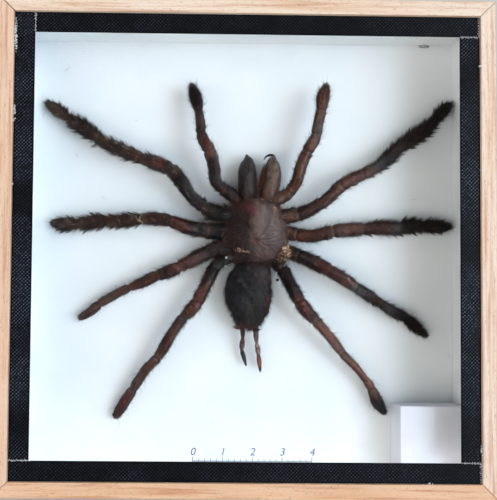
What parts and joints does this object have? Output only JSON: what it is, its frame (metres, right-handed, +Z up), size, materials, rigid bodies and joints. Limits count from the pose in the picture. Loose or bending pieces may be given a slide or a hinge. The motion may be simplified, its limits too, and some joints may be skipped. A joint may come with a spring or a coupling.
{
  "type": "framed tarantula specimen",
  "caption": "Dried tarantula spread on a white backing behind glass in a square light-wood shadow box, edged inside with black cloth tape, with a mothball cell in one corner.",
  "frame": {"origin": "middle of the bottom edge's underside, at mid depth", "axes": "+Z up along the box's upright sides, +X to the right of someone looking at the glass, -Y out through the glass"},
  "size_m": [0.155, 0.025, 0.155],
  "materials": {
    "wood": "planed beech-like wood, bare, with fine flecks",
    "glass": "clear, polished",
    "tape": "woven cloth tape, matt with faint threads",
    "liner": "white coated board, matt",
    "backing": "smooth white board in front, plain fibreboard behind",
    "card": "smooth white card, matt",
    "carapace": "dried shell under short dusty hair",
    "abdomen": "shrivelled skin under dense dark hair",
    "limb": "dried shell with streaks, bald glossy patches and bristles",
    "jaw": "dried shell under short olive hair",
    "fang": "polished dark horn",
    "hair": "fine dark bristles",
    "ink": "printed blue-grey ink",
    "glue": "clear dried glue"
  },
  "bodies": {
    "root": {"frame_bottom": "wood", "frame_left": "wood", "frame_right": "wood", "frame_top": "wood", "glass_pane": "glass", "tape_bottom": "tape", "tape_left": "tape", "tape_right": "tape", "tape_top": "tape", "liner_bottom": "liner", "liner_left": "liner", "liner_right": "liner", "liner_top": "liner", "backing_board": "backing", "mothball_cell": "card", "cephalothorax": "carapace", "abdomen": "abdomen", "chelicera_left": "jaw", "chelicera_right": "jaw", "fang_left": "fang", "fang_right": "fang", "pedipalp_left": "limb", "pedipalp_right": "limb", "leg_left_1": "limb", "leg_left_2": "limb", "leg_left_3": "limb", "leg_left_4": "limb", "leg_right_1": "limb", "leg_right_2": "limb", "leg_right_3": "limb", "leg_right_4": "limb", "spinneret_left": "limb", "spinneret_right": "limb"}
  },
  "joints": []
}
